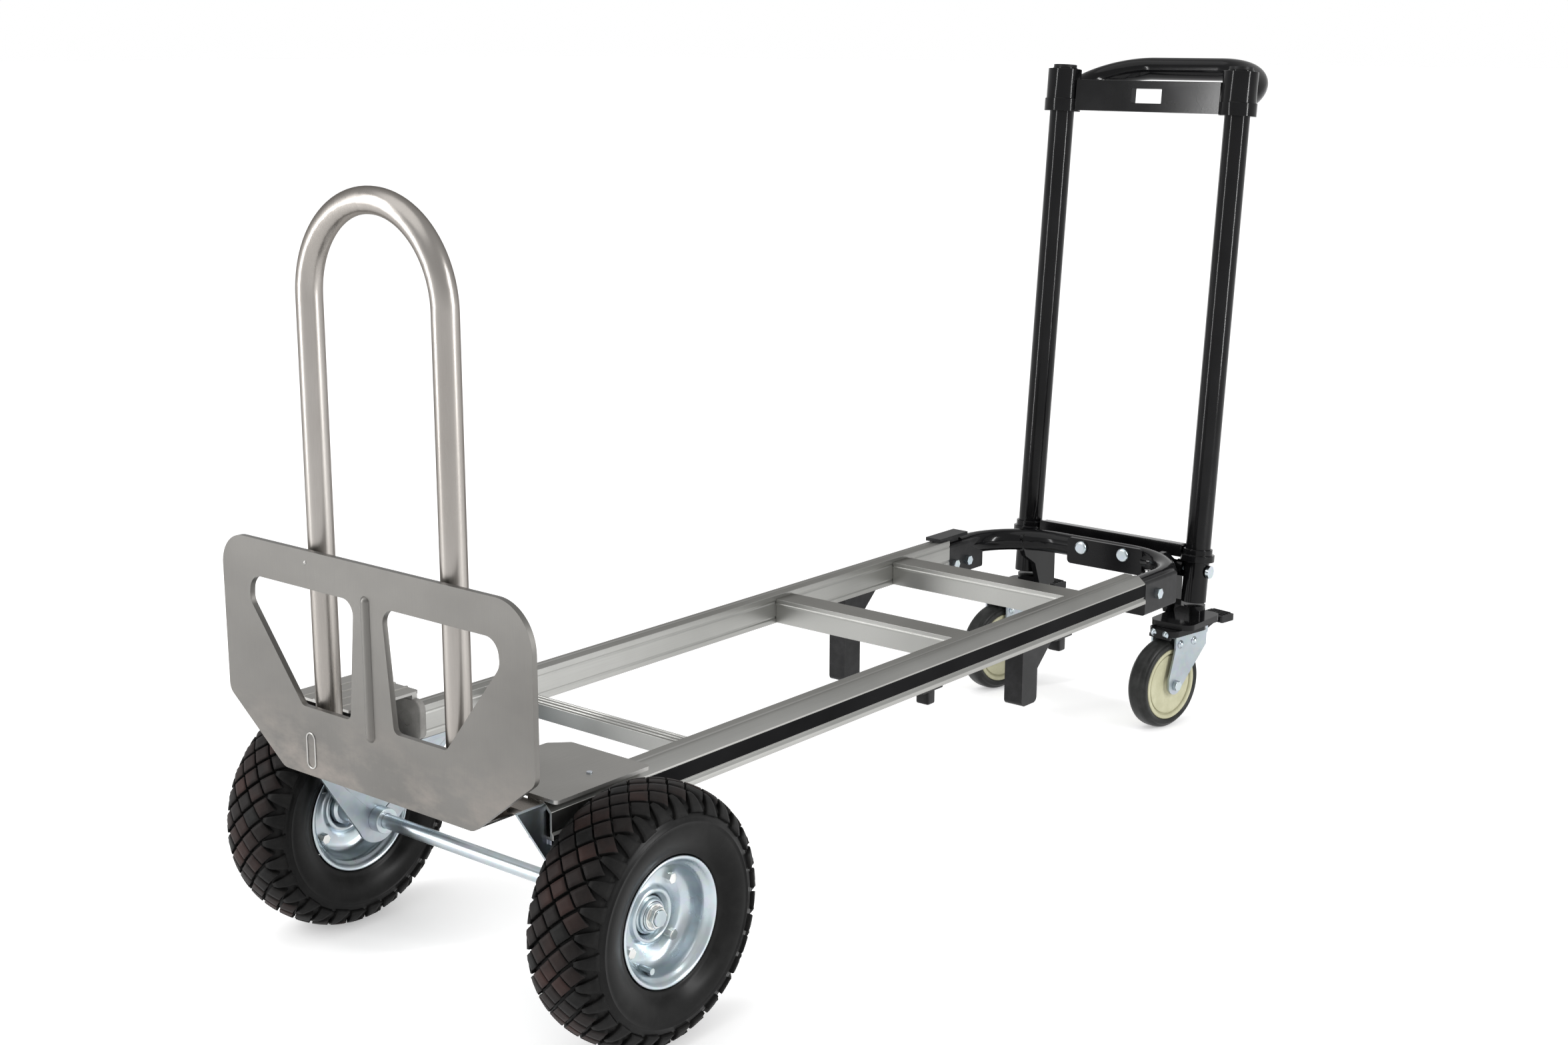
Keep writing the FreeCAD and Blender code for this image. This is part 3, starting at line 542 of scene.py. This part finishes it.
def caster_axis(word):
    """The direction of the caster wheel's axle."""
    name = "caster_" + word + "_spin"
    return Vector(next(joint["axis"] for joint in frame["joints"] if joint["name"] == name))


def caster_part(word, name, profile, paint, replaced):
    """Turn a profile about the caster's axle, in place of a CAD node."""
    centre = middle("caster_tread_" + word)
    bm = bmesh.new()
    lathe(bm, profile, centre, CASTER_SEGMENTS)
    turn = Vector((0, 1, 0)).rotation_difference(caster_axis(word)).to_matrix()
    bmesh.ops.rotate(bm, verts=bm.verts, cent=centre, matrix=turn)
    add_piece(name + "_" + word, mesh_of(bm, name), paint, "caster_wheel_" + word, replaced + "_" + word)


def caster_wheel(word):
    """A rubber tread stepped down at its shoulders, on a moulded centre with a groove near its rim."""
    tread = [(0.0502, 0.0140), (0.0540, 0.0156), (0.0572, 0.0152), (0.0588, 0.0128), (0.0604, 0.0118),
             (0.0626, 0.0092), (0.0635, 0.0052)]
    caster_part(word, "caster_tyre", rounded(both_faces(tread), 0.0012), "caster_rubber", "caster_tread")
    core = [(0.0051, 0.0170), (0.0110, 0.0170), (0.0125, 0.0160), (0.0135, 0.0136), (0.0160, 0.0130),
            (0.0400, 0.0130), (0.0418, 0.0126), (0.0422, 0.0108), (0.0436, 0.0108), (0.0440, 0.0130),
            (0.0456, 0.0148), (0.0492, 0.0148), (0.0501, 0.0140)]
    caster_part(word, "caster_centre", rounded(both_faces(core), 0.0006), "wheel_plastic", "caster_core")


def block(bm, low, high, edge):
    """A block with rounded edges."""
    made = bmesh.ops.create_cube(bm, size=1.0)["verts"]
    low, high = Vector(low), Vector(high)
    for vert in made:
        vert.co = (low + high) / 2 + Vector(v * s for v, s in zip(vert.co, high - low))
    edges = list({e for vert in made for e in vert.link_edges})
    bmesh.ops.bevel(bm, geom=edges, offset=edge, segments=3, profile=0.6, affect="EDGES", clamp_overlap=True)


def rivet(bm, place, outward, radius, height):
    """A domed head with a thin washer, on a face that looks outward."""
    washer_radius, centre_radius = radius * 1.35, radius * 0.05
    profile = [(washer_radius, 0.0), (washer_radius, height * 0.22), (radius, height * 0.26)]
    profile += [(radius * math.cos(a), height * (0.26 + 0.74 * math.sin(a)))
                for a in (math.radians(k) for k in (20, 40, 60, 78))]
    profile += [(centre_radius, height), (centre_radius, 0.0)]
    first = len(bm.verts)
    lathe(bm, profile, Vector((0, 0, 0)), 28)
    bm.verts.ensure_lookup_table()
    turn = Vector((0, 1, 0)).rotation_difference(Vector(outward)).to_matrix()
    for vert in bm.verts[first:]:
        vert.co = Vector(place) + turn @ vert.co


def caster_fittings(word):
    """Rivets round the swivel head, and ridges across the brake pedal."""
    across = caster_axis(word)
    along = Vector((across.y, -across.x, 0))
    pin = middle("caster_tread_" + word) + along * CASTER_TRAIL
    pin.z = 0
    bm = bmesh.new()
    for face in (1, -1):
        for reach in (-0.024, 0.006):
            place = pin + along * reach + across * (face * CHEEK_FACE) + Vector((0, 0, CHEEK_RIVET_HEIGHT))
            rivet(bm, place, across * face, 0.0042, 0.0042)
    for shift in (-0.0105, 0.0105):
        place = pin - along * HEAD_FACE + across * shift + Vector((0, 0, HEAD_RIVET_HEIGHT))
        rivet(bm, place, -along, 0.0038, 0.0038)
    add_piece("caster_rivets_" + word, mesh_of(bm, "rivets"), "zinc_steel", "caster_" + word)
    bm = bmesh.new()
    bottom, top = RIDGE_HEIGHTS
    for reach in (0.078, 0.084, 0.090, 0.096):
        block(bm, (reach, -PEDAL_HALF_WIDTH, bottom), (reach + RIDGE_WIDTH, PEDAL_HALF_WIDTH, top), 0.0006)
    for vert in bm.verts:
        vert.co = pin + along * vert.co.x + across * vert.co.y + Vector((0, 0, vert.co.z))
    add_piece("pedal_ridges_" + word, mesh_of(bm, "ridges"), "black_plastic", "brake_" + word)


# Frame fittings ------------------------------------------------------------------------------

CLIPS_BEHIND_AXLE = (0.552, 0.836)
TOE_PLATE_AHEAD = 0.135
PRESSING_STEPS = 48


def rail_clips():
    """Small moulded clips under the right rail, where straps are hooked."""
    low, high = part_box("rail_right")
    bm = bmesh.new()
    y = (low.y + high.y) / 2
    for distance in CLIPS_BEHIND_AXLE:
        x = middle("axle").x + distance
        block(bm, (x - 0.020, y - 0.010, low.z - 0.006), (x + 0.020, y + 0.010, low.z + 0.0005), 0.0012)
        block(bm, (x - 0.008, y - 0.009, low.z - 0.022), (x + 0.006, y + 0.009, low.z - 0.005), 0.0025)
    add_piece("strap_clips", mesh_of(bm, "clips"), "black_plastic", "frame")


def toe_plate_marks():
    """A long oval pressing near the foot and one tiny rivet near the top."""
    low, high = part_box("toe_plate")
    front = middle("axle").x - TOE_PLATE_AHEAD
    bm = bmesh.new()
    y, z, half_width, half_straight = 0.095, low.z + 0.0265, 0.0060, 0.0120
    ring = []
    for k in range(PRESSING_STEPS):
        angle = 2 * math.pi * k / PRESSING_STEPS
        lift = half_straight if math.sin(angle) > 0 else -half_straight
        ring.append((math.cos(angle), math.sin(angle), lift))
    rows = []
    for grow, out in ((1.22, 0.0002), (1.15, -0.0009), (0.92, -0.0009), (0.85, 0.0002)):
        rows.append([bm.verts.new((front + out, y + half_width * grow * c, z + lift + half_width * grow * s))
                     for c, s, lift in ring])
    bridge(bm, rows + rows[:1])
    rivet(bm, (front, 0.091, high.z - 0.012), (-1, 0, 0), 0.0016, 0.0010)
    add_piece("toe_plate_pressings", mesh_of(bm, "pressings"), "shelf_aluminium", "frame")


# Stage ---------------------------------------------------------------------------------------

FLOOR_REACH = 60
FLOOR_GLOW = 0.34
SKY_SHADE = 0.70
SKY_STOPS = ((0.0, grey(1.0)), (0.06, grey(1.0)), (0.22, grey(SKY_SHADE)), (1.0, grey(SKY_SHADE)))


def stage():
    """A wide white floor under a sky that is white at the horizon and grey above."""
    bm = bmesh.new()
    corners = ((-1, -1), (1, -1), (1, 1), (-1, 1))
    bm.faces.new([bm.verts.new((FLOOR_REACH * x, FLOOR_REACH * y, 0)) for x, y in corners])
    floor = new_object("floor", mesh_of(bm, "floor"))
    paint = Paint("studio_floor", Roughness=0.8, Specular_IOR_Level=0.1, Emission_Color=(1, 1, 1, 1),
                  Emission_Strength=FLOOR_GLOW)
    paint.set("Base Color", paint.ramp(paint.noise(2), (0.3, grey(0.80)), (0.7, grey(0.83))))
    floor.data.materials.append(paint.material)
    world = bpy.data.worlds.new("studio")
    world.use_nodes = True
    tree = world.node_tree
    place = tree.nodes.new("ShaderNodeTexCoord")
    split = tree.nodes.new("ShaderNodeSeparateXYZ")
    ramp = tree.nodes.new("ShaderNodeValToRGB")
    tree.links.new(place.outputs["Generated"], split.inputs[0])
    tree.links.new(split.outputs["Z"], ramp.inputs[0])
    tree.links.new(ramp.outputs["Color"], tree.nodes["Background"].inputs["Color"])
    set_stops(ramp, SKY_STOPS)
    bpy.context.scene.world = world
    bpy.context.scene.view_settings.view_transform = "Standard"


def soft_sun(name, direction, strength, spread):
    """Even light from far away; direction points from the object to the light."""
    data = bpy.data.lights.new(name, "SUN")
    data.energy = strength
    data.angle = math.radians(spread)
    lamp = new_object(name, data)
    lamp.rotation_euler = Vector(direction).to_track_quat("Z", "Y").to_euler()


def area_light(name, place, target, size, power):
    """A tall narrow softbox that faces the target."""
    data = bpy.data.lights.new(name, "AREA")
    data.shape = "RECTANGLE"
    data.size, data.size_y = size
    data.energy = power
    lamp = new_object(name, data)
    lamp.location = place
    lamp.rotation_euler = (Vector(target) - Vector(place)).to_track_quat("-Z", "Y").to_euler()


# Along the row and across it the camera is placed from the axle, and up it is placed from the floor.
CAMERA_FROM_AXLE = Vector((-1.3605, -1.5160, 0.9496))
CAMERA_YAW = 39.42
CAMERA_DOWNWARD_PITCH = 13.12
CAMERA_ROLL = -0.16
CAMERA_LENS = 48.21
CAMERA_SENSOR = 36


def camera():
    """The view from ahead of the right wheel, a little above the top of the posts."""
    stand = CAMERA_FROM_AXLE + Vector((middle("axle").x, 0, 0))
    yaw, pitch, roll = map(math.radians, (CAMERA_YAW, CAMERA_DOWNWARD_PITCH, CAMERA_ROLL))
    ahead = Vector((math.cos(yaw) * math.cos(pitch), math.sin(yaw) * math.cos(pitch), -math.sin(pitch)))
    data = bpy.data.cameras.new("view")
    data.sensor_width = CAMERA_SENSOR
    data.lens = CAMERA_LENS
    view = new_object("view", data)
    turn = ahead.to_track_quat("-Z", "Y").to_matrix() @ Matrix.Rotation(-roll, 3, "Z")
    view.matrix_world = Matrix.Translation(stand) @ turn.to_4x4()
    bpy.context.scene.camera = view


finish_cad_nodes()
for word, side in SIDES.items():
    main_wheel(word, side)
    caster_wheel(word)
    caster_fittings(word)
rail_clips()
toe_plate_marks()
stage()
soft_sun("daylight", (-0.35, 0.15, 1.0), 0.95, 60)
area_light("left_softbox", (-2.1, 1.3, 1.1), (0, 0, 0.45), (0.14, 1.8), 30)
area_light("right_softbox", (0.5, -2.5, 1.2), (0.3, 0, 0.5), (0.12, 1.9), 46)
camera()
